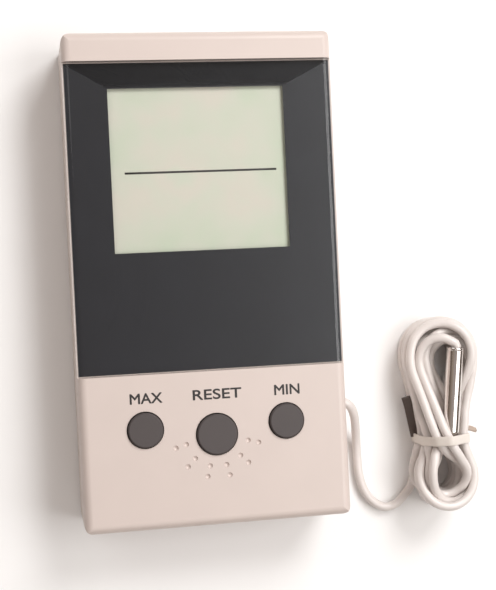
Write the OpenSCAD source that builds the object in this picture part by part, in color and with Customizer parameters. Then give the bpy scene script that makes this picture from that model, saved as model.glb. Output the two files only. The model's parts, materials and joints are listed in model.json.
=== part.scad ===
// Digital maximum minimum thermometer with a probe on a lead.
// Millimetres. The case lies on its back: +Z out of the display, +Y towards the top, +X to the right.
// The origin is under the middle of the case, on the surface it lies on.

/* [Case] */
// Width of the case
body_w = 62; // [56:0.5:70]
// Height of the case
body_h = 113; // [104:0.5:124]
// Depth of the case
body_d = 20; // [20:0.5:24]
// Corner radius of the outline seen from the front
corner_r = 2.4; // [1.5:0.1:5]
// Rounding of the front edges
front_r = 2; // [1:0.1:3]
// Rounding of the back edges
back_r = 1; // [0.5:0.1:2]
// Wall thickness
wall = 1.8; // [1.4:0.1:2.2]
// Floor thickness of the rear cover
floor_t = 1.4; // [1.2:0.1:1.8]
// Height of the joint line between the covers
split_z = 8; // [7:0.5:10]

/* [Window and display] */
// Lower edge of the window
window_low = -21; // [-24:0.5:-18]
// Upper edge of the window
window_high = 50; // [48:0.5:51]
// Thickness of the window
window_t = 1.8; // [1.4:0.1:2]
// Gap round the window
window_gap = 0.15; // [0.1:0.05:0.3]
// Centre of the display, across
lcd_x = -0.8; // [-2:0.1:2]
// Centre of the display, up
lcd_y = 25.3; // [24:0.1:27]
// Width of the clear area over the display
view_w = 40.5; // [36:0.5:42]
// Height of the clear area over the display
view_h = 37.3; // [34:0.1:39]

/* [Buttons] */
// Distance of the outer buttons from the middle
button_x = 16.3; // [14:0.1:19]
// Height of the outer buttons
button_y = -33.5; // [-36:0.5:-31]
// Height of the middle button
reset_y = -35.5; // [-38:0.5:-33]
// Hole radius of the outer buttons
button_hole_r = 4.25; // [3.5:0.05:5]
// Hole radius of the middle button
reset_hole_r = 4.9; // [4:0.05:5.5]
// Gap between a cap and its hole
button_gap = 0.25; // [0.2:0.05:0.4]
// How far the caps stand out
button_proud = 0.8; // [0.4:0.1:1.2]
// Radius of a dimple's sphere
dimple_r = 0.62; // [0.4:0.02:0.9]

/* [Back] */
// Centre of the cell, across
cell_x = -16.4; // [-18:0.1:-15]
// Width of the battery door
door_w = 13; // [12:0.5:14]
// Height of the stand's hinge
hinge_y = 12; // [8:0.5:16]
// Width of the stand
stand_w = 13.9; // [12:0.1:14]
// Centre of the hanging hole
keyhole_y = 38; // [34:0.5:42]
// Radius of the hanging hole
keyhole_r = 4; // [3:0.1:5]

/* [Lead and probe] */
// Lead diameter
cord_d = 2.2; // [1.6:0.1:3]
// Height of the exit in the side wall
cord_y = -31.5; // [-36:0.5:-28]
// Probe diameter
probe_d = 4.2; // [3.5:0.1:6]
// Probe length
probe_len = 22.3; // [15:0.1:40]

/* [Hidden] */
$fn = 64;

eps = 0.01;
over = 1;
half_w = body_w / 2;
half_h = body_h / 2;
in_x = half_w - wall;
in_y = half_h - wall;

// Heights of the layers, from the front face down
seat_z = body_d - window_t - 0.1;
lens_z = body_d - window_t;
ceiling_z = body_d - wall;
plate_z = seat_z - 0.7;
board_top = plate_z - 3;
board_low = board_top - 1;
cell_r = 5.25;
cell_z = board_low - 0.2 - cell_r;

// Joint between the covers
lip_h = 1.2;
lip_t = 0.85;

// Display stack
glass_w = 44;
glass_h = 42;
back_glass_h = 37;
glass_t = 0.7;
glass_low = plate_z - 0.1 - 2 * glass_t;
holder_wall = 1.3;
zebra_w = 1.8;

// Board
board_half_w = 26.5;
board_mid_w = 23.8;
board_y0 = -53.2;
board_y1 = 52.2;
board_step = 48.7;
upper_board_screws = [[-14, 49.9], [14, 49.9]];
lower_board_screws = [[-24.8, -46], [24.8, -46]];
board_screw_spots = concat(upper_board_screws, lower_board_screws);
screw_r = 0.9;
pilot_r = 0.95;

// Case screws
case_screw_spots = [[-26.9, 51.8], [26.9, 51.8], [-26.9, -51.8], [26.9, -51.8]];
post_r = 2.5;
boss_r = 2.2;
post_top = 6;
head_seat = 3;

// Buttons
flange_t = 0.8;
flange_top = ceiling_z - 0.2;
flange_over = 1.1;
collar_gap = 0.3;
collar_t = 0.9;
collar_low = 16;
cap_edge = 0.3;
dome_h = flange_top - flange_t - 0.1 - board_top;
dimple_count = 6;
dimple_radii = [7.4, 9.9];
dimple_lift = 0.15;
view_edge = 0.9;

// Battery bay and door
door_low = 0.1;
door_t = 1.15;
runner_low = floor_t + 0.25;
runner_t = 0.75;
runner_over = 0.8;
door_end = -2;
slide_gap = 0.2;
bay_top = 5.9;
cell_back = -46.8;
cell_front = -3.1;
nub_len = 0.8;
contact_t = 0.4;
bay_y0 = cell_back - 5.7;
bay_y1 = cell_front + nub_len + 0.1 + contact_t;

// Stand
stand_t = 2;
stand_low = 0.2;
stand_end = -50;
hinge_z = 1.9;
knuckle_r = 1.7;
trunnion_r = 1;
pocket_gap = 0.4;
pocket_w = stand_w + 2 * pocket_gap;

// Unit switch
switch_x = 19;
switch_y = 20;

// Lead
exit_z = split_z;
tail_end = 24;
core_r = 0.35;
core_in = 0.6;
core_apart = 0.5;
bush_r = 2.15;
bush_lip_r = 3;
cord_sides = 8;
cord_route = [[31, -31.5, 8], [33.2, -31.5, 8], [35, -32.8, 7.5], [36.1, -35, 6.3], [36.8, -37.8, 4.6],
              [37.3, -40.5, 2.9], [37.6, -43.2, 1.7], [37.8, -46, 1.2], [37.9, -49, 1.2], [38.4, -52.3, 1.2],
              [39.6, -55.4, 1.2], [41.8, -58, 1.2], [44.6, -59.3, 1.2], [47.4, -58.6, 1.2],
              [49.6, -56.6, 1.2], [51.4, -54, 1.2]];

// Hank: two round ends and the waist that the tie holds
hank_x = 58;
hank_h = 11;
hank_top_y = -21.4;
hank_top_r = 9.7;
hank_low_y = -52.4;
hank_low_r = 7.9;
waist_half = 5.9;
tie_y = -42;
tie_w = 2.4;
tie_t = 0.5;
tie_end_len = 4.5;
tie_end_w = 1.4;

// Probe: it lies in the hank's top with its tip under the tie
probe_top = [61, -19.8, 11.6];
probe_lean = 6.2;
probe_groove = 0.1;
probe_route = [probe_top, [61.2, -17.8, 11.6], [60.4, -16.3, 11.2], [58.8, -15.7, 10.5], [57, -16.2, 9.6]];

// ---------- shared shapes ----------

// A rectangle with round corners, from squares and circles
module round_rect(w, h, r) {
    union() {
        square([w - 2 * r, h], center = true);
        square([w, h - 2 * r], center = true);
        for (sx = [-1, 1], sy = [-1, 1])
            translate([sx * (w / 2 - r), sy * (h / 2 - r)]) circle(r);
    }
}

// A side profile from y = 0 to y = h, with its own rounding at the bottom and the top
module side_profile(w, h, r_low, r_top) {
    union() {
        translate([-w / 2, r_low]) square([w, h - r_low - r_top]);
        translate([-w / 2 + r_low, 0]) square([w - 2 * r_low, r_low + eps]);
        translate([-w / 2 + r_top, h - r_top - eps]) square([w - 2 * r_top, r_top + eps]);
        for (s = [-1, 1]) {
            translate([s * (w / 2 - r_low), r_low]) circle(r_low);
            translate([s * (w / 2 - r_top), h - r_top]) circle(r_top);
        }
    }
}

// The full outer shape of the case
module case_solid() {
    intersection() {
        linear_extrude(body_d) round_rect(body_w, body_h, corner_r);
        rotate([90, 0, 0])
            translate([0, 0, -half_h - over])
                linear_extrude(body_h + 2 * over) side_profile(body_w, body_d, back_r, front_r);
        rotate([90, 0, 90])
            translate([0, 0, -half_w - over])
                linear_extrude(body_w + 2 * over) side_profile(body_h, body_d, back_r, front_r);
    }
}

// A box given by its low and high corners
module span(a, b) {
    translate(a) cube(b - a);
}

// An upright ring
module tube_ring(r_out, r_in, z0, z1) {
    translate([0, 0, z0]) difference() {
        cylinder(r = r_out, h = z1 - z0);
        translate([0, 0, -over]) cylinder(r = r_in, h = z1 - z0 + 2 * over);
    }
}

// An upright rod
module rod(x, y, r, z0, z1) {
    translate([x, y, z0]) cylinder(r = r, h = z1 - z0);
}

// A rod along X from x0 to x1
module rod_x(y, z, r, x0, x1) {
    translate([x0, y, z]) rotate([0, 90, 0]) cylinder(r = r, h = x1 - x0);
}

// A rod along Y from y0 to y1
module rod_y(x, z, r, y0, y1) {
    translate([x, y0, z]) rotate([-90, 0, 0]) cylinder(r = r, h = y1 - y0);
}

// The two stepped widths of the door: the plate and its runners, along Y
module door_section(gap, y0, y1) {
    half = door_w / 2 + gap;
    run = door_w / 2 + runner_over + gap;
    span([cell_x - half, y0, door_low - gap], [cell_x + half, y1, runner_low + runner_t / 2]);
    span([cell_x - run, y0, runner_low - gap], [cell_x + run, y1, runner_low + runner_t + gap]);
}

// Unit vector and cross product helpers for swept shapes
function unit(v) = v / norm(v);
function tangent(p, i) = unit(p[min(i + 1, len(p) - 1)] - p[max(i - 1, 0)]);
function side_of(t) = unit(cross(t, abs(t[2]) > 0.9 ? [1, 0, 0] : [0, 0, 1]));

// A round tube swept along points, with flat ends
module sweep(p, r, n) {
    rings = [for (i = [0 : len(p) - 1])
        let (t = tangent(p, i), u = side_of(t), v = cross(t, u))
            for (k = [0 : n - 1]) p[i] + r * (cos(360 * k / n) * u + sin(360 * k / n) * v)];
    last = (len(p) - 1) * n;
    walls = [for (i = [0 : len(p) - 2], k = [0 : n - 1])
        [i * n + k, i * n + (k + 1) % n, (i + 1) * n + (k + 1) % n, (i + 1) * n + k]];
    polyhedron(rings, concat([[for (k = [n - 1 : -1 : 0]) k]], walls, [[for (k = [0 : n - 1]) last + k]]));
}

// ---------- covers ----------

module button_spots(hole_over) {
    translate([-button_x, button_y, 0]) children(0);
    translate([button_x, button_y, 0]) children(0);
    translate([0, reset_y, 0]) children(1);
}

module front_cover() {
    color([0.9, 0.86, 0.82]) difference() {
        union() {
            difference() {
                intersection() {
                    case_solid();
                    span([-body_w, -body_h, split_z], [body_w, body_h, body_d]);
                }
                // inside, higher behind the panel and the band than behind the window
                span([-in_x, -in_y, split_z - over], [in_x, in_y, plate_z]);
                span([-in_x, -in_y, split_z], [in_x, window_low - wall, ceiling_z]);
                span([-in_x, window_high + wall, split_z], [in_x, in_y, ceiling_z]);
                // rebate for the lip of the rear cover
                span([-in_x - lip_t - 0.05, -in_y - lip_t - 0.05, split_z - over],
                     [in_x + lip_t + 0.05, in_y + lip_t + 0.05, split_z + lip_h + 0.2]);
            }
            // guide collars round the buttons
            button_spots() {
                tube_ring(button_hole_r - button_gap + flange_over + collar_gap + collar_t,
                          button_hole_r - button_gap + flange_over + collar_gap, collar_low, ceiling_z + 0.5);
                tube_ring(reset_hole_r - button_gap + flange_over + collar_gap + collar_t,
                          reset_hole_r - button_gap + flange_over + collar_gap, collar_low, ceiling_z + 0.5);
            }
            // bosses for the board and for the case screws
            for (s = upper_board_screws) rod(s[0], s[1], 1.9, board_top, plate_z + 0.5);
            for (s = lower_board_screws) rod(s[0], s[1], 1.9, board_top, ceiling_z + 0.5);
            for (s = case_screw_spots) rod(s[0], s[1], boss_r, post_top, ceiling_z + 0.3);
        }
        // seat of the window, open to both sides
        span([-body_w, window_low, seat_z], [body_w, window_high, body_d + over]);
        // opening over the display
        translate([lcd_x, lcd_y, 0])
            span([-view_w / 2 - view_edge, -view_h / 2 - view_edge, plate_z - over],
                 [view_w / 2 + view_edge, view_h / 2 + view_edge, body_d]);
        // button holes
        button_spots() {
            rod(0, 0, button_hole_r, split_z, body_d + over);
            rod(0, 0, reset_hole_r, split_z, body_d + over);
        }
        // screw pilots
        for (s = board_screw_spots) rod(s[0], s[1], pilot_r, board_top - over, plate_z - 0.2);
        for (s = case_screw_spots) rod(s[0], s[1], pilot_r, post_top - over, 14);
        // dimples in pairs, fanned out below the middle button
        for (i = [0 : dimple_count - 1], r = dimple_radii)
            translate([r * cos(195 + 30 * i), reset_y + r * sin(195 + 30 * i), body_d + dimple_lift])
                sphere(dimple_r);
        // upper half of the lead's exit
        rod_x(cord_y, exit_z, bush_r + 0.05, in_x - over, half_w + over);
    }
}

module rear_cover() {
    color([0.9, 0.87, 0.83]) difference() {
        union() {
            difference() {
                intersection() {
                    case_solid();
                    span([-body_w, -body_h, 0], [body_w, body_h, split_z]);
                }
                span([-in_x, -in_y, floor_t], [in_x, in_y, split_z + over]);
            }
            // lip that stands inside the front cover
            difference() {
                span([-in_x - lip_t, -in_y - lip_t, split_z - over],
                     [in_x + lip_t, in_y + lip_t, split_z + lip_h]);
                span([-in_x, -in_y, floor_t], [in_x, in_y, split_z + over + lip_h]);
            }
            // posts for the case screws
            for (s = case_screw_spots) rod(s[0], s[1], post_r, floor_t - 0.2, post_top);
            // battery bay walls
            span([cell_x - 8.4, bay_y0 - 0.9, floor_t - 0.2], [cell_x - 7.6, bay_y1 + 1, bay_top]);
            span([cell_x + 7.6, bay_y0 - 0.9, runner_low + runner_t + slide_gap],
                 [cell_x + 8.6, bay_y1 + 1, bay_top]);
            span([cell_x - 8, bay_y0 - 0.9, runner_low + runner_t + slide_gap],
                 [cell_x + 8, bay_y0, bay_top]);
            span([cell_x - 8, bay_y1, floor_t - 0.2], [cell_x + 8, bay_y1 + 1, bay_top]);
            // housing of the stand and of its hinge
            span([-pocket_w / 2 - 1, -in_y - 0.2, floor_t - 0.2], [pocket_w / 2 + 1, hinge_y + 3.5, 3.8]);
            span([-pocket_w / 2 - 2.2, hinge_y - 3.6, floor_t - 0.2],
                 [pocket_w / 2 + 2.2, hinge_y + 3.5, 5.2]);
            // housing behind the hanging hole
            span([-6.5, keyhole_y - 6, floor_t - 0.2], [6.5, keyhole_y + 11, 5.8]);
        }
        // way for the battery door
        door_section(slide_gap, -half_h - over, door_end + slide_gap);
        span([cell_x - door_w / 2 - slide_gap, -half_h - over, -over],
             [cell_x + door_w / 2 + slide_gap, door_end + slide_gap, floor_t + 0.5]);
        // pocket of the stand, deeper at the hinge, with a finger scoop at the free end
        span([-pocket_w / 2, stand_end - pocket_gap, -over], [pocket_w / 2, hinge_y + 2.4, 2.6]);
        span([-pocket_w / 2, hinge_y - 2.6, -over], [pocket_w / 2, hinge_y + 2.4, 4]);
        rod(0, stand_end - pocket_gap, 3.8, -over, 2.4);
        rod_x(hinge_y, hinge_z, trunnion_r + 0.06, -pocket_w / 2 - 1.4, pocket_w / 2 + 1.4);
        // keyhole and the hollow for a screw head
        rod(0, keyhole_y, keyhole_r, -over, floor_t + over);
        rod(0, keyhole_y + 7, 2, -over, floor_t + over);
        span([-2, keyhole_y, -over], [2, keyhole_y + 7, floor_t + over]);
        span([-5.2, keyhole_y - 4.8, floor_t], [5.2, keyhole_y + 9.8, 4.6]);
        // case screw seats
        for (s = case_screw_spots) {
            rod(s[0], s[1], 2.1, -over, head_seat);
            rod(s[0], s[1], 1.2, -over, post_top + over);
        }
        // slot of the unit switch
        span([switch_x - 1.4, switch_y - 3.1, -over], [switch_x + 1.4, switch_y + 3.1, floor_t + 0.3]);
        // lower half of the lead's exit
        rod_x(cord_y, exit_z, bush_r + 0.05, in_x - over, half_w + over);
    }
}

module case_screws() {
    color([0.62, 0.62, 0.64]) for (s = case_screw_spots) translate([s[0], s[1], 0]) difference() {
        union() {
            rod(0, 0, 1.9, 1.8, head_seat);
            rod(0, 0, screw_r, head_seat - 0.1, 12);
        }
        span([-1.2, -0.25, 1], [1.2, 0.25, 2.4]);
        span([-0.25, -1.2, 1], [0.25, 1.2, 2.4]);
    }
}

// ---------- window and display ----------

module display_window() {
    color([0.12, 0.13, 0.16, 0.6]) intersection() {
        case_solid();
        span([-body_w, window_low + window_gap, lens_z], [body_w, window_high - window_gap, body_d + over]);
    }
}

module window_mask() {
    color([0.05, 0.05, 0.07]) difference() {
        span([-half_w + 0.4, window_low + 0.3, seat_z], [half_w - 0.4, window_high - 0.3, lens_z]);
        translate([lcd_x, lcd_y, 0])
            span([-view_w / 2, -view_h / 2, seat_z - over], [view_w / 2, view_h / 2, lens_z + over]);
    }
}

module lcd_glass() {
    color([0.8, 0.82, 0.7]) translate([lcd_x, lcd_y, 0]) union() {
        span([-glass_w / 2, -glass_h / 2, glass_low + glass_t],
             [glass_w / 2, glass_h / 2, glass_low + 2 * glass_t]);
        span([-glass_w / 2, -back_glass_h / 2, glass_low],
             [glass_w / 2, back_glass_h / 2, glass_low + glass_t]);
    }
}

module lcd_holder() {
    color([0.85, 0.85, 0.83]) translate([lcd_x, lcd_y, board_top]) difference() {
        linear_extrude(plate_z - 0.1 - board_top)
            square([glass_w + 2 * holder_wall + 0.1, glass_h + 2 * holder_wall + 0.1], center = true);
        translate([0, 0, -over])
            linear_extrude(body_d) square([glass_w + 0.1, glass_h + 0.1], center = true);
    }
}

module zebra_strips() {
    color([0.6, 0.55, 0.5]) translate([lcd_x, lcd_y, 0]) for (s = [-1, 1])
        translate([0, s * (back_glass_h / 2 + 0.2 + zebra_w / 2), (board_top + glass_low + glass_t) / 2])
            cube([glass_w - 2, zebra_w, glass_low + glass_t - board_top], center = true);
}

// ---------- board ----------

module main_board() {
    color([0.1, 0.35, 0.2]) difference() {
        union() {
            span([-board_half_w, -board_step, board_low], [board_half_w, board_step - 0.1, board_top]);
            span([-board_mid_w, board_y0, board_low], [board_mid_w, board_y1, board_top]);
        }
        for (s = board_screw_spots) rod(s[0], s[1], 1.1, board_low - over, board_top + over);
    }
}

module chip_blob() {
    color([0.08, 0.08, 0.08]) intersection() {
        translate([3, 22, board_low + 6]) sphere(8);
        span([-10, 10, board_low - 5], [16, 34, board_low]);
    }
}

module board_parts() {
    color([0.55, 0.5, 0.4]) union() {
        rod_y(4, board_low - 1.5, 1.5, -14, -8);
        for (i = [0 : 4]) span([10 + 3 * i, 6, board_low - 0.8], [11.2 + 3 * i, 8, board_low]);
        for (i = [0 : 3]) span([-4 + 3.4 * i, -24, board_low - 1], [-2.4 + 3.4 * i, -21.4, board_low]);
        for (i = [0 : 2]) span([14, -18 + 4 * i, board_low - 0.7], [16, -16.8 + 4 * i, board_low]);
    }
}

module board_screws() {
    color([0.6, 0.6, 0.62]) for (s = board_screw_spots) translate([s[0], s[1], 0]) difference() {
        union() {
            rod(0, 0, 1.7, board_low - 1.1, board_low);
            rod(0, 0, screw_r, board_low - 0.1, board_top + 2.2);
        }
        span([-1.1, -0.25, board_low - 2], [1.1, 0.25, board_low - 0.6]);
        span([-0.25, -1.1, board_low - 2], [0.25, 1.1, board_low - 0.6]);
    }
}

// ---------- buttons ----------

module button_cap(hole_r) {
    r = hole_r - button_gap;
    top = body_d + button_proud;
    union() {
        rod(0, 0, r + flange_over, flange_top - flange_t, flange_top);
        rod(0, 0, r, flange_top - flange_t, top - cap_edge);
        translate([0, 0, top - cap_edge]) cylinder(r1 = r, r2 = r - cap_edge, h = cap_edge);
    }
}

module rubber_dome() {
    translate([0, 0, board_top]) difference() {
        union() {
            cylinder(r = 4.4, h = 0.6);
            translate([0, 0, 0.6]) cylinder(r1 = 3.9, r2 = 2.3, h = 1.1);
            translate([0, 0, 1.7]) cylinder(r = 2.1, h = dome_h - 1.7);
        }
        translate([0, 0, -eps]) cylinder(r1 = 3.4, r2 = 1.6, h = 1.3);
    }
}

module button_max() {
    color([0.33, 0.31, 0.31]) translate([-button_x, button_y, 0]) button_cap(button_hole_r);
}

module button_reset() {
    color([0.33, 0.31, 0.31]) translate([0, reset_y, 0]) button_cap(reset_hole_r);
}

module button_min() {
    color([0.33, 0.31, 0.31]) translate([button_x, button_y, 0]) button_cap(button_hole_r);
}

module dome_max() {
    color([0.75, 0.75, 0.72]) translate([-button_x, button_y, 0]) rubber_dome();
}

module dome_reset() {
    color([0.75, 0.75, 0.72]) translate([0, reset_y, 0]) rubber_dome();
}

module dome_min() {
    color([0.75, 0.75, 0.72]) translate([button_x, button_y, 0]) rubber_dome();
}

// ---------- battery ----------

module battery_can() {
    color([0.75, 0.75, 0.76]) union() {
        rod_y(cell_x, cell_z, cell_r - 0.15, cell_back, cell_front);
        rod_y(cell_x, cell_z, 1.9, cell_front - 0.1, cell_front + nub_len);
    }
}

module battery_jacket() {
    color([0.2, 0.3, 0.25]) difference() {
        rod_y(cell_x, cell_z, cell_r, cell_back + 0.8, cell_front - 0.6);
        rod_y(cell_x, cell_z, cell_r - 0.15, cell_back, cell_front);
    }
}

// A conical wire spring between the cell and its contact
module battery_spring() {
    turns = 3.5;
    steps = 42;
    wire_r = 0.3;
    y0 = bay_y0 + contact_t + wire_r;
    y1 = cell_back - wire_r;
    path = [for (i = [0 : steps])
        let (f = i / steps, a = 360 * turns * f, r = 3.8 - 1.4 * f)
            [cell_x + r * cos(a), y0 + (y1 - y0) * f, cell_z + r * sin(a)]];
    color([0.8, 0.8, 0.82]) sweep(path, wire_r, 6);
}

module contact_plate(y) {
    span([cell_x - 4.5, y, 2.9], [cell_x + 4.5, y + contact_t, 12]);
    span([cell_x - 1, y, 12 - eps], [cell_x + 1, y + contact_t, board_low]);
}

module minus_contact() {
    color([0.78, 0.78, 0.8]) union() contact_plate(bay_y0);
}

module plus_contact() {
    color([0.78, 0.78, 0.8]) union() contact_plate(bay_y1 - contact_t);
}

module battery_door() {
    color([0.9, 0.87, 0.83]) difference() {
        intersection() {
            case_solid();
            union() {
                span([cell_x - door_w / 2, -half_h, door_low],
                     [cell_x + door_w / 2, door_end, door_low + door_t]);
                span([cell_x - door_w / 2 + 0.4, -half_h, door_low],
                     [cell_x + door_w / 2 - 0.4, door_end, runner_low + runner_t]);
                span([cell_x - door_w / 2 - runner_over, -half_h, runner_low],
                     [cell_x + door_w / 2 + runner_over, door_end, runner_low + runner_t]);
            }
        }
        // finger grooves
        for (i = [0 : 3])
            span([cell_x - 4, -50 + 1.8 * i, -over], [cell_x + 4, -49.1 + 1.8 * i, 0.5]);
    }
}

// ---------- stand and unit switch ----------

module stand() {
    half = stand_w / 2;
    color([0.88, 0.85, 0.81]) difference() {
        union() {
            span([-half, stand_end, stand_low], [half, hinge_y, stand_low + stand_t]);
            rod_x(hinge_y, hinge_z, knuckle_r, -half, half);
            rod_x(hinge_y, hinge_z, trunnion_r, -half - 1.5, half + 1.5);
        }
        // shallow panel in the outer face
        span([-half + 2, stand_end + 10, -over], [half - 2, hinge_y - 6, stand_low + 0.7]);
    }
}

module unit_switch() {
    color([0.65, 0.65, 0.67]) difference() {
        span([switch_x - 2.4, switch_y - 5.4, floor_t], [switch_x + 2.4, switch_y + 5.4, 5.2]);
        span([switch_x - 1.4, switch_y - 3.1, 0], [switch_x + 1.4, switch_y + 3.1, 3.8]);
    }
}

module unit_slider() {
    color([0.15, 0.15, 0.16]) difference() {
        span([switch_x - 1.1, switch_y - 2.7, 0.4], [switch_x + 1.1, switch_y + 0.7, 3.5]);
        for (i = [0 : 2])
            span([switch_x - 2, switch_y - 2.2 + i, 0], [switch_x + 2, switch_y - 1.8 + i, 0.7]);
    }
}

module switch_leads() {
    color([0.7, 0.6, 0.4]) for (i = [-1 : 1]) rod(switch_x, switch_y + 3 * i, 0.4, 5.2, board_low);
}

// ---------- lead and probe ----------

module cord_grommet() {
    color([0.85, 0.82, 0.8]) difference() {
        union() {
            rod_x(cord_y, exit_z, bush_r, in_x - 0.1, half_w);
            rod_x(cord_y, exit_z, bush_lip_r, in_x - 1.3, in_x - 0.05);
        }
        rod_x(cord_y, exit_z, cord_d / 2 + 0.05, 0, half_w + over);
    }
}

module cable_tail() {
    color([0.88, 0.86, 0.84]) union() {
        rod_x(cord_y, exit_z, cord_d / 2, tail_end, half_w);
        for (s = [-1, 1]) rod(tail_end + core_in, cord_y + core_apart * s, core_r, exit_z - 0.4, board_low);
    }
}

module cord() {
    color([0.88, 0.85, 0.82]) union() {
        sweep(cord_route, cord_d / 2, cord_sides);
        sweep(probe_route, cord_d / 2, cord_sides);
    }
}

module along_probe() {
    translate(probe_top) rotate([90, 0, -probe_lean]) children();
}

// The outer shape of the wound lead: a wide round end, a waist under the tie and a smaller round end
module cord_hank() {
    color([0.88, 0.85, 0.82]) difference() {
        linear_extrude(hank_h) union() {
            translate([hank_x, hank_top_y]) circle(hank_top_r);
            translate([hank_x, hank_low_y]) circle(hank_low_r);
            polygon([[hank_x - hank_top_r, hank_top_y], [hank_x - waist_half, tie_y + tie_w / 2],
                     [hank_x - waist_half, tie_y - tie_w / 2], [hank_x - hank_low_r, hank_low_y],
                     [hank_x + hank_low_r, hank_low_y], [hank_x + waist_half, tie_y - tie_w / 2],
                     [hank_x + waist_half, tie_y + tie_w / 2], [hank_x + hank_top_r, hank_top_y]]);
        }
        // groove for the tie under the hank
        span([hank_x - hank_top_r, tie_y - tie_w / 2, -over], [hank_x + hank_top_r, tie_y + tie_w / 2, tie_t]);
        // bed of the probe
        along_probe() translate([0, 0, -probe_groove])
            cylinder(r = probe_d / 2 + probe_groove, h = probe_len + 2 * probe_groove);
    }
}

module probe() {
    color([0.8, 0.8, 0.8]) along_probe() union() {
        cylinder(r = probe_d / 2, h = probe_len - probe_d / 2);
        translate([0, 0, probe_len - probe_d / 2]) sphere(probe_d / 2);
    }
}

// Section of the tie's loop: square below, sloping up over the probe
module tie_outline() {
    probe_x = probe_top[0] + sin(probe_lean) * (tie_y - probe_top[1]);
    rise = probe_top[2] + probe_d / 2 + tie_t + probe_groove;
    left = hank_x - waist_half - tie_t;
    right = hank_x + waist_half + tie_t;
    polygon([[left, 0], [right, 0], [right, hank_h + tie_t], [probe_x + probe_d / 2, rise],
             [probe_x - probe_d / 2, rise], [left, hank_h + tie_t]]);
}

module twist_tie() {
    color([0.93, 0.92, 0.9]) union() {
        translate([0, tie_y + tie_w / 2, 0]) rotate([90, 0, 0]) linear_extrude(tie_w) difference() {
            tie_outline();
            offset(delta = -tie_t) tie_outline();
        }
        // cut end
        span([hank_x + waist_half + tie_t / 2, tie_y - tie_end_w / 2, hank_h - tie_end_w],
             [hank_x + waist_half + tie_end_len, tie_y + tie_end_w / 2, hank_h]);
    }
}

front_cover();
rear_cover();
display_window();
window_mask();
lcd_glass();
lcd_holder();
zebra_strips();
main_board();
chip_blob();
board_parts();
board_screws();
button_max();
button_reset();
button_min();
dome_max();
dome_reset();
dome_min();
battery_can();
battery_jacket();
battery_spring();
minus_contact();
plus_contact();
battery_door();
stand();
case_screws();
unit_switch();
unit_slider();
switch_leads();
cord_grommet();
cable_tail();
cord();
cord_hank();
probe();
twist_tie();
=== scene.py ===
"""A digital maximum minimum thermometer lying on its back, with its probe lead wound into a tied hank."""

import json
import math

import bpy
import numpy as np
from mathutils import Matrix, Vector


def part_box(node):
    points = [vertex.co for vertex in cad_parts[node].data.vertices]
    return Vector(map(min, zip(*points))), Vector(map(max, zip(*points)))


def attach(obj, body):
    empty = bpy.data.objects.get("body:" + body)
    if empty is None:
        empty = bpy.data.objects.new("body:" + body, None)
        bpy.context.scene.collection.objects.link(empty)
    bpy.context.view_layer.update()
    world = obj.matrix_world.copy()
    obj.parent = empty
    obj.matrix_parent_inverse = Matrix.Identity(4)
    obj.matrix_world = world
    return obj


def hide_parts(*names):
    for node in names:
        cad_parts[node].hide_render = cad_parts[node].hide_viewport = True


MM = 0.001

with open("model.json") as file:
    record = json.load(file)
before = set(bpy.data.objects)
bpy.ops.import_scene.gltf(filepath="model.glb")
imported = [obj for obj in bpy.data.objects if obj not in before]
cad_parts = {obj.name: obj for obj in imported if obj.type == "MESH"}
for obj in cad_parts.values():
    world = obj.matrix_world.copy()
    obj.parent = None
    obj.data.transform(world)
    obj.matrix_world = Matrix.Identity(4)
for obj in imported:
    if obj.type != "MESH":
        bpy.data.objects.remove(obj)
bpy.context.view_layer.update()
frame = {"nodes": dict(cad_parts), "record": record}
front_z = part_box("front_cover")[1][2]

# ---------------------------------------------------------------- camera

CAMERA_AT = (-40.4, 0.8, 270.7)  # from the middle of the case's front face, in mm
CAMERA_TURN = (-1.04, -10.28, -2.92)  # about X, Y and Z, in degrees
CAMERA_LENS = 73.2


def make_camera():
    data = bpy.data.cameras.new("camera")
    data.lens = CAMERA_LENS
    data.sensor_width = 36
    camera = bpy.data.objects.new("camera", data)
    bpy.context.scene.collection.objects.link(camera)
    turn = Matrix.Identity(4)
    for angle, axis in zip(CAMERA_TURN, "XYZ"):
        turn = turn @ Matrix.Rotation(math.radians(angle), 4, axis)
    place = Vector(CAMERA_AT) * MM + Vector((0, 0, front_z))
    camera.matrix_world = Matrix.Translation(place) @ turn
    data.clip_start = 0.01
    data.clip_end = 10
    bpy.context.scene.camera = camera


make_camera()

# ---------------------------------------------------------------- shapes


def add_mesh(name, verts, faces, material=None, body="case"):
    """A new piece from vertices in metres, riding on a body. Faces with more than four corners stay flat."""
    mesh = bpy.data.meshes.new(name)
    mesh.from_pydata([tuple(v) for v in verts], [], faces)
    mesh.update()
    for face in mesh.polygons:
        face.use_smooth = len(face.vertices) < 5
    if material:
        mesh.materials.append(material)
    piece = bpy.data.objects.new(name, mesh)
    bpy.context.scene.collection.objects.link(piece)
    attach(piece, body)
    return piece


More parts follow.
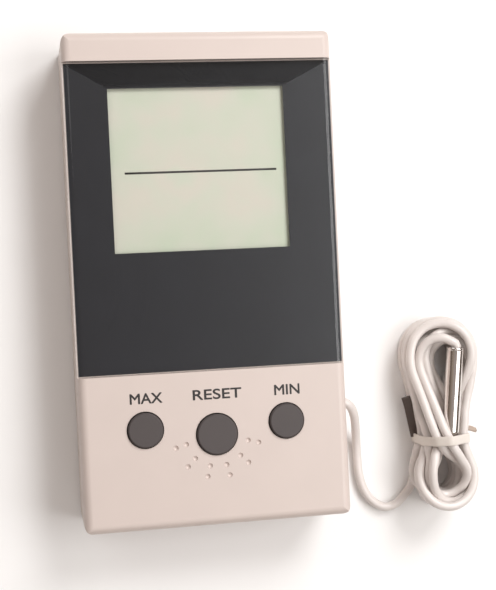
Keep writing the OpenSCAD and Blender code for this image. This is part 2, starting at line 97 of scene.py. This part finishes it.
def sweep(path, outline, turns=0.0, closed=False):
    """Vertices and faces of an outline carried along a path, in metres, with an even twist along it."""
    path = np.array(path, float)
    n, m = len(path), len(outline)
    ahead = np.roll(path, -1, axis=0) - np.roll(path, 1, axis=0)
    if not closed:
        ahead[0] = path[1] - path[0]
        ahead[-1] = path[-1] - path[-2]
    ahead /= np.linalg.norm(ahead, axis=1, keepdims=True)
    side = np.cross(ahead[0], (0, 0, 1.0))
    if np.linalg.norm(side) < 0.1:
        side = np.cross(ahead[0], (0, 1.0, 0))
    verts = []
    for i in range(n):
        side = side - ahead[i] * (side @ ahead[i])
        side /= np.linalg.norm(side)
        up = np.cross(side, ahead[i])
        a = 2 * math.pi * turns * i / (n - 1)
        u = math.cos(a) * side + math.sin(a) * up
        v = -math.sin(a) * side + math.cos(a) * up
        verts += [path[i] + x * u + y * v for x, y in outline]
    rows = n if closed else n - 1
    faces = []
    for i in range(rows):
        for k in range(m):
            a, b = i * m, ((i + 1) % n) * m
            faces.append((a + k, a + (k + 1) % m, b + (k + 1) % m, b + k))
    if not closed:
        faces.append(tuple(range(m))[::-1])
        faces.append(tuple((n - 1) * m + k for k in range(m)))
    return verts, faces


def rounded_strip(width, thick, count=20):
    """A flat strip's cross-section with round edges."""
    points = []
    for k in range(count):
        a = 2 * math.pi * k / count
        c, s = math.cos(a), math.sin(a)
        across = math.copysign(abs(c) ** 0.5, c) * width / 2
        through = math.copysign(abs(s) ** 0.8, s) * thick / 2
        points.append((across, through))
    return points


# ---------------------------------------------------------------- the lead

# Sizes and places of the lead are in mm.
CORD_D = 2.2
CORD_ROUTE = [
    (31, -31.5, 8), (33.2, -31.5, 8), (35, -32.8, 7.5), (36.1, -35, 6.3), (36.8, -37.8, 4.6),
    (37.3, -40.5, 2.9), (37.6, -43.2, 1.7), (37.8, -46, 1.2), (37.9, -49, 1.2), (38.4, -52.3, 1.2),
    (39.6, -55.4, 1.2), (41.8, -58, 1.2), (44.6, -59.3, 1.2), (47.4, -58.6, 1.2),
    (49.6, -56.6, 1.2), (51.4, -54, 1.2),
]
# The hank: turns lie in pairs, one inside the other, layer on layer. The lower ones are plain ovals. The
# upper ones cross in the tie, and one plain turn lies over them.
HANK_X = 58.3
TOP_Y = -20.7
TOP_R = 7.2
LOW_Y = -52.4
LOW_R = 5.9
WAIST = 4.3
SLOT = 2
LOWER_INSET = 0.35
PITCH = CORD_D * 1.05
PLAIN_TURNS = 4
CROSSED_SLOTS = (0, 1, 3)
LAST_SLOT = 2
ARC_POINTS = 9
UNDER_X = -2  # where a crossed turn goes under and over in the tie, and where it comes back
OVER_X = 3.2
BACK_X = 2.5
BACK_Y = 5
JOIN = (52.6, -50, 1.5)  # between the free run and the first turn
TIE_Y = -42
TIE_HALF = 1.2
TIE_T = 0.5
TIE_SAG = -0.4
TIE_GAP = 0.05
STEP = 1.5
MIN_BEND = 8
ROUNDS = 1200
PAIRS_EVERY = 15
NEAR = 1.6 * CORD_D
IN_PROBE = 8  # points at the end that run down to the probe, so it doesn't push them
SINK = 0.02
PULL = 0.05
LOOSE = 0.3
PROBE_TOP = np.array([61, -19.8, 11.6])
PROBE_TIP = np.array([58.6, -42, 11.6])
PROBE_AXIS = (PROBE_TOP - PROBE_TIP) / np.linalg.norm(PROBE_TOP - PROBE_TIP)
PROBE_R = 2.1


def smooth_path(points, step):
    """Points a step apart on a Catmull-Rom curve through the given points."""
    p = np.array(points, float)
    p = np.vstack([2 * p[0] - p[1], p, 2 * p[-1] - p[-2]])
    fine = []
    for a, b, c, d in zip(p, p[1:], p[2:], p[3:]):
        for t in np.linspace(0, 1, 24, endpoint=False):
            fine.append(0.5 * (2 * b + (c - a) * t + (2 * a - 5 * b + 4 * c - d) * t**2
                               + (3 * b - a - 3 * c + d) * t**3))
    fine.append(p[-2])
    fine = np.array(fine)
    along = np.concatenate([[0], np.cumsum(np.linalg.norm(np.diff(fine, axis=0), axis=1))])
    count = max(2, int(round(along[-1] / step)) + 1)
    at = np.linspace(0, along[-1], count)
    return np.stack([np.interp(at, along, fine[:, i]) for i in range(3)], axis=1)


def arc(x, y, radius, start, end, low, high):
    """Points round (x, y) from one angle to another, in degrees, rising from low to high."""
    angles = np.radians(np.linspace(start, end, ARC_POINTS))
    heights = np.linspace(low, high, ARC_POINTS)
    return [(x + radius * math.cos(a), y + radius * math.sin(a), z) for a, z in zip(angles, heights)]


def plain_turn(inset, low, high):
    """Up the left, round the upper end, down the right and round the lower end."""
    return [(HANK_X - WAIST + inset, TIE_Y, low),
            *arc(HANK_X, TOP_Y, TOP_R - inset, 180, 0, low, low),
            (HANK_X + WAIST - inset, TIE_Y, low),
            *arc(HANK_X, LOW_Y, LOW_R - LOWER_INSET * inset, 0, -180, low, high)]


def crossed_turn(slot, inset, right, under, over):
    """Round the lower end, up over the others from the lower right to the upper left, and round that end."""
    left = HANK_X - TOP_R + SLOT * (3 - slot)
    radius = (right - left) / 2
    return [(HANK_X + UNDER_X, TIE_Y, under),
            *arc(HANK_X, LOW_Y, LOW_R - LOWER_INSET * inset, 180, 395, under, over - PITCH),
            (HANK_X + OVER_X - SLOT * slot, TIE_Y, over),
            *arc(right - radius, TOP_Y, radius, 180, 0, over, over),
            (HANK_X + BACK_X, TIE_Y + BACK_Y, under)]


def covering_turn(low, high):
    """The turn on top of all: under the others in the tie, round the lower end and on over the right side."""
    return [(HANK_X - BACK_X, TIE_Y, low - PITCH),
            *arc(HANK_X, LOW_Y, LOW_R, 180, 360, low, high),
            (HANK_X + WAIST, TIE_Y, high),
            *arc(HANK_X, TOP_Y, TOP_R, 0, 180, high, low),
            (HANK_X - WAIST, TIE_Y, low)]


def turn_points():
    """The hank's turns, from the surface up, and last the half turn that ends in the probe."""
    points = []
    for turn in range(PLAIN_TURNS):
        low = CORD_D / 2 + PITCH * (turn // 2)
        points += plain_turn(PITCH * ((turn + 1) % 2), low, low + PITCH * (turn % 2))
    under = CORD_D / 2 + PITCH * (PLAIN_TURNS // 2)
    points += plain_turn(PITCH, under, under)[:-ARC_POINTS]
    over = under + 2 * PITCH
    for turn, slot in enumerate(CROSSED_SLOTS):
        rise = PITCH * (turn // 2)
        points += crossed_turn(slot, PITCH * (turn % 2), HANK_X + TOP_R, under + rise, over + rise)
    points += covering_turn(under + PITCH, over + 2 * PITCH)
    points += crossed_turn(LAST_SLOT, PITCH, PROBE_TOP[0] + 0.6, under + PITCH, over + PITCH)[:-2]
    return points


def nearest_on(p, a, b):
    """The nearest points to p on the segment from a to b."""
    t = np.clip((p - a) @ (b - a) / ((b - a) @ (b - a)), 0, 1)
    return a + t[:, None] * (b - a)


def near_pairs(p, reach):
    """Pairs of points that are close in space and not along the lead."""
    apart = np.linalg.norm(p[:, None] - p[None], axis=2)
    first, second = np.nonzero(np.triu(apart < reach, 5))
    return first, second


def keep_spacing(p, free):
    """Brings neighbours back to one step apart."""
    d = p[1:] - p[:-1]
    length = np.linalg.norm(d, axis=1, keepdims=True)
    share = free[:-1, None] + free[1:, None]
    move = (length - STEP) / length * d / np.maximum(share, 1)
    p[:-1] += move * free[:-1, None] * 0.5
    p[1:] -= move * free[1:, None] * 0.5


def straighten(p, reach, free):
    """Opens bends tighter than the lead allows, and eases the others a little."""
    offset = 0.5 * (p[:-2 * reach] + p[2 * reach:]) - p[reach:-reach]
    size = np.linalg.norm(offset, axis=1, keepdims=True) + 1e-9
    most = (reach * STEP) ** 2 / (2 * MIN_BEND)
    move = offset / size * (0.9 * np.clip(size - most, 0, None) + 0.02 * size)
    p[reach:-reach] += move * free[reach:-reach, None] * 0.5
    p[:-2 * reach] -= move * free[:-2 * reach, None] * 0.25
    p[2 * reach:] -= move * free[2 * reach:, None] * 0.25


def push_apart(p, pairs, gap, free):
    """Moves strands that touch a little apart."""
    first, second = pairs
    d = p[first] - p[second]
    dist = np.linalg.norm(d, axis=1, keepdims=True) + 1e-9
    move = np.clip(gap - dist, 0, None) / dist * d * 0.25
    for axis in range(3):
        p[:, axis] += free * np.bincount(first, move[:, axis], len(p))
        p[:, axis] -= free * np.bincount(second, move[:, axis], len(p))


def settle(p, held):
    """Lets the lead lie as it would: strands rest beside and on each other, on the surface and in the tie."""
    free = (~held).astype(float)
    index = np.arange(len(p))
    planned = p.copy()
    for r in range(ROUNDS):
        if r % PAIRS_EVERY == 0:
            pairs = near_pairs(p, NEAR)
        late = r / ROUNDS
        p[:, 2] -= SINK * (1 - late) * free
        p[:, :2] += PULL * min(1, 4 * (1 - late)) * (planned - p)[:, :2] * free[:, None]
        for _ in range(2):
            keep_spacing(p, free)
        for reach in (1, 2, 3):
            straighten(p, reach, free)
        for _ in range(2):
            push_apart(p, pairs, CORD_D * 1.02, free)
        d = p - nearest_on(p, PROBE_TOP, PROBE_TIP)
        dist = np.linalg.norm(d, axis=1)
        room = PROBE_R + CORD_D / 2
        hit = (dist < room) & (index < len(p) - IN_PROBE) & ~held
        p[hit] += d[hit] / dist[hit, None] * (room - dist[hit])[:, None]
        in_tie = (np.abs(p[:, 1] - TIE_Y) < TIE_HALF + 1) & ~held
        lowest = np.where(in_tie, TIE_T, 0) + CORD_D / 2 + 0.02
        p[:, 2] = np.where(held, p[:, 2], np.maximum(p[:, 2], lowest))
        p[in_tie, 0] = np.clip(p[in_tie, 0], HANK_X - WAIST - LOOSE, HANK_X + WAIST + LOOSE)
    return p


def make_lead():
    """The lead's centre line, fine for the piece and coarse for the tie round it."""
    run = smooth_path(CORD_ROUTE, STEP)
    probe_end = [tuple(PROBE_TOP + PROBE_AXIS), tuple(PROBE_TOP)]
    wound = smooth_path([CORD_ROUTE[-1], JOIN, *turn_points(), *probe_end], STEP)
    p = np.vstack([run[:-1], wound])
    held = np.zeros(len(p), bool)
    held[: len(run) - 2] = True
    held[-2:] = True
    p = settle(p, held)
    return smooth_path(p, 0.7), p


cord_path, cord_points = make_lead()


def make_cord_piece():
    ring = [(CORD_D / 2 * MM * math.cos(a), CORD_D / 2 * MM * math.sin(a))
            for a in np.linspace(0, 2 * math.pi, 14, endpoint=False)]
    return add_mesh("probe_lead", *sweep(cord_path * MM, ring))


lead = make_cord_piece()

# ---------------------------------------------------------------- materials


def new_material(name):
    material = bpy.data.materials.new(name)
    material.use_nodes = True
    tree = material.node_tree
    shader = tree.nodes["Principled BSDF"]
    return material, tree, shader


def coords(tree):
    return tree.nodes.new("ShaderNodeTexCoord").outputs["Object"]


def noise(tree, scale, detail=3.0, stretch=None):
    """Noise with its size given in features per metre."""
    source = coords(tree)
    if stretch:
        mapping = tree.nodes.new("ShaderNodeMapping")
        mapping.inputs["Scale"].default_value = stretch
        tree.links.new(source, mapping.inputs["Vector"])
        source = mapping.outputs["Vector"]
    node = tree.nodes.new("ShaderNodeTexNoise")
    node.inputs["Scale"].default_value = scale
    node.inputs["Detail"].default_value = detail
    tree.links.new(source, node.inputs["Vector"])
    return node.outputs["Fac"]


def ramp(tree, source, stops):
    """A colour for each value of the source, from stops of place and colour."""
    node = tree.nodes.new("ShaderNodeValToRGB")
    elements = node.color_ramp.elements
    elements[0].position, elements[0].color = stops[0][0], (*stops[0][1], 1)
    elements[1].position, elements[1].color = stops[-1][0], (*stops[-1][1], 1)
    for place, colour in stops[1:-1]:
        elements.new(place).color = (*colour, 1)
    tree.links.new(source, node.inputs["Fac"])
    return node.outputs["Color"]


def spread(tree, source, low, high):
    """The noise's middle range spread from low to high."""
    node = tree.nodes.new("ShaderNodeMapRange")
    node.inputs["From Min"].default_value = 0.3
    node.inputs["From Max"].default_value = 0.7
    node.inputs["To Min"].default_value = low
    node.inputs["To Max"].default_value = high
    tree.links.new(source, node.inputs["Value"])
    return node.outputs["Result"]


def bump(tree, shader, source, strength, depth):
    node = tree.nodes.new("ShaderNodeBump")
    node.inputs["Strength"].default_value = strength
    node.inputs["Distance"].default_value = depth
    tree.links.new(source, node.inputs["Height"])
    tree.links.new(node.outputs["Normal"], shader.inputs["Normal"])


def shade(colour, factor):
    return tuple(min(1.0, c * factor) for c in colour)


def plain(name, colour, rough, vary=0.06, grain=4000, depth=0.00002, metal=0.0, coat=0.0, patch=90):
    """Moulded plastic, rubber or metal: slow colour patches, fine grain in roughness and surface."""
    material, tree, shader = new_material(name)
    slow = noise(tree, patch, 4)
    tone = ramp(tree, slow, [(0.3, shade(colour, 1 - vary)), (0.7, shade(colour, 1 + vary))])
    tree.links.new(tone, shader.inputs["Base Color"])
    fine = noise(tree, grain, 2)
    tree.links.new(spread(tree, fine, rough * 0.88, rough * 1.12), shader.inputs["Roughness"])
    bump(tree, shader, fine, 0.35, depth)
    shader.inputs["Metallic"].default_value = metal
    shader.inputs["Coat Weight"].default_value = coat
    shader.inputs["Coat Roughness"].default_value = 0.1
    return material


def brushed(name, colour, rough, stretch, scale=1500):
    """Bare metal with fine lines along one axis."""
    material, tree, shader = new_material(name)
    lines = noise(tree, scale, 3, stretch)
    tone = ramp(tree, lines, [(0.3, shade(colour, 0.9)), (0.7, shade(colour, 1.06))])
    tree.links.new(tone, shader.inputs["Base Color"])
    tree.links.new(spread(tree, lines, rough * 0.8, rough * 1.25), shader.inputs["Roughness"])
    bump(tree, shader, lines, 0.15, 0.00001)
    shader.inputs["Metallic"].default_value = 1.0
    return material


def clear_window():
    """Clear gloss plastic: see-through, with a mirror-like skin at low angles."""
    material = bpy.data.materials.new("window_clear")
    material.use_nodes = True
    tree = material.node_tree
    tree.nodes.clear()
    out = tree.nodes.new("ShaderNodeOutputMaterial")
    mix = tree.nodes.new("ShaderNodeMixShader")
    clear = tree.nodes.new("ShaderNodeBsdfTransparent")
    clear.inputs["Color"].default_value = (0.98, 0.985, 0.985, 1)
    gloss = tree.nodes.new("ShaderNodeBsdfGlossy")
    gloss.inputs["Roughness"].default_value = 0.06
    facing = tree.nodes.new("ShaderNodeLayerWeight").outputs["Facing"]
    steep = tree.nodes.new("ShaderNodeMath")
    steep.operation = "POWER"
    steep.inputs[1].default_value = 5
    tree.links.new(facing, steep.inputs[0])
    share = tree.nodes.new("ShaderNodeMapRange")
    share.inputs["To Min"].default_value = 0.04
    tree.links.new(steep.outputs["Value"], share.inputs["Value"])
    tree.links.new(share.outputs["Result"], mix.inputs["Fac"])
    tree.links.new(clear.outputs["BSDF"], mix.inputs[1])
    tree.links.new(gloss.outputs["BSDF"], mix.inputs[2])
    tree.links.new(mix.outputs["Shader"], out.inputs["Surface"])
    return material


def display_material():
    """Pale green-beige display with faint green and pink mottling."""
    material, tree, shader = new_material("display")
    cloud = ramp(tree, noise(tree, 70, 3), [
        (0.30, (0.58, 0.635, 0.50)),
        (0.48, (0.635, 0.645, 0.54)),
        (0.62, (0.675, 0.635, 0.55)),
        (0.75, (0.60, 0.655, 0.53)),
    ])
    tree.links.new(cloud, shader.inputs["Base Color"])
    fine = noise(tree, 2600, 2)
    tree.links.new(spread(tree, fine, 0.42, 0.55), shader.inputs["Roughness"])
    bump(tree, shader, fine, 0.12, 0.00001)
    return material


MATERIALS = {
    "case_white": plain("case_white", (0.64, 0.55, 0.508), 0.38, vary=0.015, grain=5200, depth=0.000012),
    "window_clear": clear_window(),
    "window_print": plain("window_print", (0.010, 0.011, 0.016), 0.35, vary=0.10),
    "lcd": display_material(),
    "holder": plain("holder", (0.62, 0.61, 0.58), 0.5),
    "zebra": plain("zebra", (0.32, 0.27, 0.24), 0.8, grain=2500),
    "board": plain("board", (0.02, 0.12, 0.05), 0.4, vary=0.25, grain=2500, coat=0.3, patch=400),
    "chip": plain("chip", (0.012, 0.012, 0.013), 0.3),
    "parts": plain("parts", (0.36, 0.27, 0.16), 0.5, vary=0.3, patch=700),
    "screw": brushed("screw_steel", (0.55, 0.55, 0.56), 0.35, (1, 1, 0.2)),
    "button": plain("button_grey", (0.072, 0.060, 0.059), 0.5, vary=0.04, grain=5200, depth=0.000014),
    "dome": plain("dome", (0.55, 0.55, 0.52), 0.6),
    "can": brushed("can_steel", (0.62, 0.62, 0.63), 0.28, (1, 0.06, 1)),
    "jacket": plain("jacket", (0.03, 0.10, 0.06), 0.25, vary=0.1, coat=0.6),
    "contact": brushed("contact_nickel", (0.68, 0.67, 0.65), 0.3, (1, 1, 0.1)),
    "switch_metal": brushed("switch_tin", (0.6, 0.6, 0.6), 0.35, (1, 0.1, 1)),
    "slider": plain("slider_black", (0.02, 0.02, 0.022), 0.45),
    "lead_wire": plain("lead_wire", (0.7, 0.5, 0.3), 0.3, metal=1.0),
    "cable": plain("cable_vinyl", (0.73, 0.675, 0.645), 0.36, vary=0.03, grain=2600, coat=0.25, patch=160),
    "probe_steel": brushed("probe_steel", (0.80, 0.76, 0.73), 0.13, (1, 0.04, 1), 2200),
    "tie": plain("tie_vinyl", (0.74, 0.68, 0.62), 0.45, vary=0.05),
    # a darker brown copy of the tie's pale vinyl: painted shade on the tie's right end, not the colour of its
    # cut
    "tie_cut": plain("tie_end_painted_shade", (0.42, 0.33, 0.27), 0.4, vary=0.12),
    # a near-black sheet that paints the shadow beside the hank's left strands
    "tie_dark": plain("tie_painted_shadow", (0.10, 0.075, 0.065), 0.35, vary=0.15, coat=0.3),
    "seal": plain("probe_seal", (0.20, 0.16, 0.14), 0.5, vary=0.1),
    "ink": plain("label_ink", (0.022, 0.019, 0.019), 0.5, vary=0.1),
}
for part in frame["record"]["subparts"]:
    slots = frame["nodes"][part["node"]].data.materials
    slots.clear()
    slots.append(MATERIALS[part["material_slot"]])

# the dark print is flat, so its faces don't share soft edges
mask_edges = frame["nodes"]["window_mask"].modifiers.new("edges", "EDGE_SPLIT")
mask_edges.split_angle = math.radians(30)

# ---------------------------------------------------------------- pieces


lead.data.materials.append(MATERIALS["cable"])


# Sizes and places of the print are in mm.
LABEL_Y = -26.3
LABEL_SHIFT = 0.45  # how far right of its button a word is
LABEL_HEIGHT = 2.4
LABEL_WIDTHS = {"MAX": 7.4, "RESET": 11.3, "MIN": 6.0}
PRINT_LIFT = 0.010
STROKE = 0.065  # shift of the copies that make a word's strokes heavier
STROKE_COPIES = 8
COPY_LIFT = 0.002


def word_mesh(text):
    """Corners and faces of a word in the plain built-in letters."""
    font = bpy.data.curves.new("font_" + text.lower(), "FONT")
    font.body = text
    word = bpy.data.objects.new("word_" + text.lower(), font)
    bpy.context.scene.collection.objects.link(word)
    bpy.context.view_layer.update()
    flat = word.evaluated_get(bpy.context.evaluated_depsgraph_get()).to_mesh()
    corners = np.array([tuple(v.co) for v in flat.vertices])
    outlines = [tuple(face.vertices) for face in flat.polygons]
    bpy.data.objects.remove(word)
    return corners, outlines


def label(text, button):
    """A generic word printed flat on the front face above its button."""
    corners, outlines = word_mesh(text)
    low, high = corners.min(0), corners.max(0)
    wide, tall = LABEL_WIDTHS[text] - 2 * STROKE, LABEL_HEIGHT - 2 * STROKE
    size = np.array([wide / (high[0] - low[0]), tall / (high[1] - low[1]), 0])
    corners = (corners - (low + high) / 2) * size
    button_low, button_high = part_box(button)
    x = (button_low[0] + button_high[0]) / 2 / MM + LABEL_SHIFT
    z = front_z / MM + PRINT_LIFT
    verts, faces = [], []
    for copy in range(STROKE_COPIES):
        a = 2 * math.pi * copy / STROKE_COPIES
        shift = (x + STROKE * math.cos(a), LABEL_Y + STROKE * math.sin(a), z + COPY_LIFT * copy)
        faces += [tuple(v + len(verts) for v in outline) for outline in outlines]
        verts += [(corner + shift) * MM for corner in corners]
    piece = add_mesh("label_" + text.lower(), verts, faces, MATERIALS["ink"])


label("MAX", "button_max")
label("RESET", "button_reset")
label("MIN", "button_min")

LINE_LEFT, LINE_RIGHT = -17.9, 17.3
LINE_Y = 24.8
LINE_WIDTH = 0.48
LINE_T = 0.03
LINE_LIFT = 0.02


def display_line():
    """The one dark line that the display shows."""
    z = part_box("lcd_glass")[1][2] + LINE_LIFT * MM
    path = [(x * MM, LINE_Y * MM, z) for x in np.linspace(LINE_LEFT, LINE_RIGHT, 9)]
    verts, faces = sweep(path, rounded_strip(LINE_WIDTH * MM, LINE_T * MM, 12))
    piece = add_mesh("display_line", verts, faces, MATERIALS["ink"])


display_line()


def outline_round(points):
    """The corners of the tightest outline round a set of points in a plane, anticlockwise."""
    points = sorted(map(tuple, points))

    def half(ordered):
        corners = []
        for q in ordered:
            while len(corners) > 1:
                a, b = corners[-2:]
                if (b[0] - a[0]) * (q[1] - a[1]) - (b[1] - a[1]) * (q[0] - a[0]) > 0:
                    break
                corners.pop()
            corners.append(q)
        return corners[:-1]

    return half(points) + half(points[::-1])


def tie_band():
    """The tie: a flat band drawn tight round the waist of the hank and the tip of the probe."""
    # the free run passes the tie's height too, more than 8 mm to the left
    in_tie = (np.abs(cord_points[:, 1] - TIE_Y) < TIE_HALF) & (cord_points[:, 0] > HANK_X - 8)
    near = cord_points[in_tie]
    rounds = [(x, z, CORD_D / 2) for x, _, z in near]
    tip = PROBE_TIP + (PROBE_TOP - PROBE_TIP) * 0.05
    rounds.append((tip[0], tip[2], PROBE_R))
    rim = []
    for x, z, r in rounds:
        for k in range(24):
            a = 2 * math.pi * k / 24
            reach = r + TIE_T / 2 + TIE_GAP
            rim.append((x + reach * math.cos(a), max(z + reach * math.sin(a), TIE_T / 2 + TIE_GAP)))
    corners = np.array(outline_round(rim))
    loop = np.vstack([corners, corners[:1]])
    along = np.concatenate([[0], np.cumsum(np.linalg.norm(np.diff(loop, axis=0), axis=1))])
    at = np.linspace(0, along[-1], 120, endpoint=False)
    ring = np.stack([np.interp(at, along, loop[:, i]) for i in (0, 1)], axis=1)
    for _ in range(3):
        ring = 0.5 * ring + 0.25 * (np.roll(ring, 1, axis=0) + np.roll(ring, -1, axis=0))
    ring[:, 1] = np.maximum(ring[:, 1], TIE_T / 2 + 0.02)
    left, right = ring[:, 0].min(), ring[:, 0].max()
    middle, half = (right + left) / 2, (right - left) / 2
    top = ring[:, 1].max()
    path = []
    for x, z in ring:
        sag = TIE_SAG * (1 - ((x - middle) / half) ** 2) * (z / top)
        path.append((x * MM, (TIE_Y + TIE_SAG / 2 - sag) * MM, z * MM))
    strip = [(x * MM, y * MM) for x, y in rounded_strip(2 * TIE_HALF - 0.1, TIE_T)]
    verts, faces = sweep(path, strip, closed=True)
    band = add_mesh("tie_band", verts, faces, MATERIALS["tie"])
    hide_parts("twist_tie")
    return band, ring


def tie_end(name, points, width, thick, turns, material):
    """A flat strip along points in mm, with the cut wire showing at the tip; makes the tie's right end and
    the dark strip on the left that paints a shadow.
    """
    path = smooth_path(points, 0.5) * MM
    strip = [(x * MM, y * MM) for x, y in rounded_strip(width, thick)]
    verts, faces = sweep(path, strip, turns=turns)
    end = add_mesh(name, verts, faces, material)
    ahead = (path[-1] - path[-2]) / np.linalg.norm(path[-1] - path[-2])
    wire_path = [path[-1] - ahead * 0.8 * MM, path[-1] + ahead * 0.35 * MM]
    verts, faces = sweep(wire_path, [(x * MM, y * MM) for x, y in rounded_strip(0.4, 0.4)])
    wire = add_mesh(name + "_wire", verts, faces, MATERIALS["screw"])
    return [end, wire]


def tie_ends(ring):
    """The short twisted end on the right, in a darker brown that paints the shade it lies in, and a flat dark
    strip standing up along the left side that paints the shadow beside the hank.
    """
    right_x, right_z = ring[ring[:, 0].argmax()]
    left_x = ring[:, 0].min()
    right = [(right_x - 1, TIE_Y + 0.6, right_z + 1.2), (right_x + 0.5, TIE_Y + 1.2, right_z + 1.2),
             (right_x + 2.3, TIE_Y + 1.3, right_z + 0.9), (right_x + 4.1, TIE_Y + 0.6, right_z + 0.5)]
    # the dark left strip is painted shadow beside the hank, not a part of the tie
    left = [(left_x + 0.2, TIE_Y + 0.2, 3), (left_x - 0.2, TIE_Y + 2.2, 3.1), (left_x - 0.7, TIE_Y + 5, 3.2),
            (left_x - 1.3, TIE_Y + 8, 3.3), (left_x - 1.9, TIE_Y + 10.2, 3.4)]
    return [*tie_end("tie_end_right", right, 1.3, 0.8, 0.1, MATERIALS["tie_cut"]),
            *tie_end("painted_shadow_strip_left", left, 2.2, 0.45, 0.05, MATERIALS["tie_dark"])]


SEAL_SIDES = 48


def probe_seal():
    """The rolled rim and the dark resin round the lead at the probe's open end."""
    top = PROBE_TOP * MM
    pieces = []
    for name, inner, outer, back, front, material in (
        ("probe_rim", 1.75, 2.12, -0.6, 0.12, MATERIALS["probe_steel"]),
        ("probe_seal", 0.9, 1.8, -0.6, 0.06, MATERIALS["seal"]),
    ):
        side = np.cross(PROBE_AXIS, (0, 0, 1.0))
        up = np.cross(side, PROBE_AXIS)
        profile = [(inner, back), (outer, back), (outer, front - 0.08), (outer - 0.08, front), (inner, front)]
        verts, faces, m = [], [], len(profile)
        for k in range(SEAL_SIDES):
            a = 2 * math.pi * k / SEAL_SIDES
            for r, h in profile:
                verts.append(top + (r * (math.cos(a) * side + math.sin(a) * up) + h * PROBE_AXIS) * MM)
        for k in range(SEAL_SIDES):
            for j in range(m):
                a, b = k * m, (k + 1) % SEAL_SIDES * m
                faces.append((a + j, a + (j + 1) % m, b + (j + 1) % m, b + j))
        piece = add_mesh(name, verts, faces, material)
        pieces.append(piece)
    return pieces


seal = probe_seal()
band, ring = tie_band()
tie = [band, *tie_ends(ring)]
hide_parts("cord", "cord_hank")

# ---------------------------------------------------------------- surroundings


def make_world():
    """A pale ceiling and warm darker walls, so that steel and gloss have something to mirror."""
    world = bpy.data.worlds.new("studio")
    world.use_nodes = True
    tree = world.node_tree
    split = tree.nodes.new("ShaderNodeSeparateXYZ")
    tree.links.new(tree.nodes.new("ShaderNodeTexCoord").outputs["Generated"], split.inputs["Vector"])
    shade_of_room = ramp(tree, split.outputs["Z"], [
        (0.0, (0.08, 0.06, 0.05)),
        (0.45, (0.20, 0.15, 0.12)),
        (0.85, (0.40, 0.33, 0.28)),
        (1.0, (0.46, 0.41, 0.38)),
    ])
    tree.links.new(shade_of_room, tree.nodes["Background"].inputs["Color"])
    tree.nodes["Background"].inputs["Strength"].default_value = 0.8
    bpy.context.scene.world = world


def make_surroundings():
    """The floor that the object lies on, the room and four soft lights."""
    mesh = bpy.data.meshes.new("floor")
    mesh.from_pydata([(-3, -3, 0), (3, -3, 0), (3, 3, 0), (-3, 3, 0)], [], [(0, 1, 2, 3)])
    floor = bpy.data.objects.new("floor", mesh)
    floor.location.z = -0.00005
    bpy.context.scene.collection.objects.link(floor)
    mesh.materials.append(plain("floor_paper", (0.93, 0.925, 0.92), 0.8, vary=0.01, patch=8))
    make_world()
    for name, at, size, power in (
        ("key", (0.26, 0.38, 0.47), 0.28, 2.7),
        ("fill", (-0.42, 0.36, 0.45), 0.5, 0.9),
        ("side", (0.38, -0.03, 0.52), 0.42, 2.1),
        ("front", (0.0, -0.5, 0.5), 0.4, 0.6),
    ):
        data = bpy.data.lights.new(name, "AREA")
        data.size = size
        data.energy = power
        light = bpy.data.objects.new(name, data)
        light.location = at
        light.rotation_euler = (-Vector(at)).to_track_quat("-Z", "Y").to_euler()
        bpy.context.scene.collection.objects.link(light)


make_surroundings()
# plain colours, so that white plastic stays white
bpy.context.scene.view_settings.view_transform = "Standard"

bpy.context.view_layer.update()
